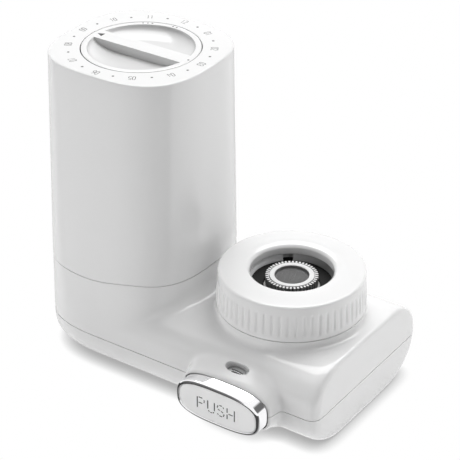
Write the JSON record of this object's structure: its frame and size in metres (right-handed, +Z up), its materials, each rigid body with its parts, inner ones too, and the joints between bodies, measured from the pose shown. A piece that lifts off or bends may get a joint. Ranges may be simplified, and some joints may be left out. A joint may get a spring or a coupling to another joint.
{
  "type": "faucet mount water filter",
  "caption": "Water filter that clamps on a tap's spout, with a filter tower, a month reminder dial, a tap collar and a push button that changes the stream.",
  "frame": {"origin": "on the tower's axis, on the surface that the belly stands on", "axes": "+X along the base towards the tap collar, +Z up along the tower; the push button faces -Y"},
  "size_m": [0.1396, 0.0882, 0.132],
  "materials": {
    "white_gloss": "gloss",
    "white_inner": "satin",
    "grey_part": "satin",
    "chrome": "polished",
    "steel": "satin",
    "rubber": "matte",
    "carbon": "matte",
    "clear": "clear"
  },
  "bodies": {
    "base": {"base_upper": "white_gloss", "base_lower": "white_gloss", "split_ring": "grey_part", "collar_gasket": "rubber", "inlet_sleeve": "grey_part", "inlet_screen": "steel", "button_guide": "white_inner", "valve_body": "white_inner", "window_lens": "clear", "cartridge_shell": "white_inner", "cartridge_lid": "white_inner", "carbon_core": "carbon", "cartridge_spigot": "white_inner", "spigot_seals": "rubber", "cartridge_socket": "white_inner", "feed_duct": "steel", "return_duct": "steel", "filtered_outlet": "white_inner", "spray_plate": "grey_part", "stream_nozzle": "white_inner", "housing_screws": "steel"},
    "cap": {"tower_cap": "white_gloss"},
    "dial": {"month_dial": "white_gloss", "dial_clip": "steel"},
    "nut": {"collar_nut": "white_gloss"},
    "button": {"push_button": "white_gloss", "button_ring": "chrome", "button_stem": "white_inner", "button_spring": "steel"},
    "rotor": {"mode_drum": "white_inner", "valve_rotor": "white_inner"}
  },
  "joints": [
    {"name": "cap_lift", "type": "slide", "parent": "base", "child": "cap", "axis": [0, 0, 1], "range_m": [0, 0.085]},
    {"name": "dial_turn", "type": "hinge", "parent": "cap", "child": "dial", "pos_m": [0, 0, 0.12], "axis": [0, 0, 1], "continuous": true},
    {"name": "nut_turn", "type": "hinge", "parent": "base", "child": "nut", "pos_m": [0.0679, 0.0044, 0.04], "axis": [0, 0, 1], "continuous": true},
    {"name": "button_push", "type": "slide", "parent": "base", "child": "button", "axis": [0, 1, 0], "range_m": [0, 0.0024], "stiffness_N_per_m": 400, "springref_m": -0.001, "deforming": ["button_spring"]},
    {"name": "rotor_turn", "type": "hinge", "parent": "base", "child": "rotor", "pos_m": [0.0668, 0, 0.0152], "axis": [0, 1, 0], "continuous": true}
  ]
}
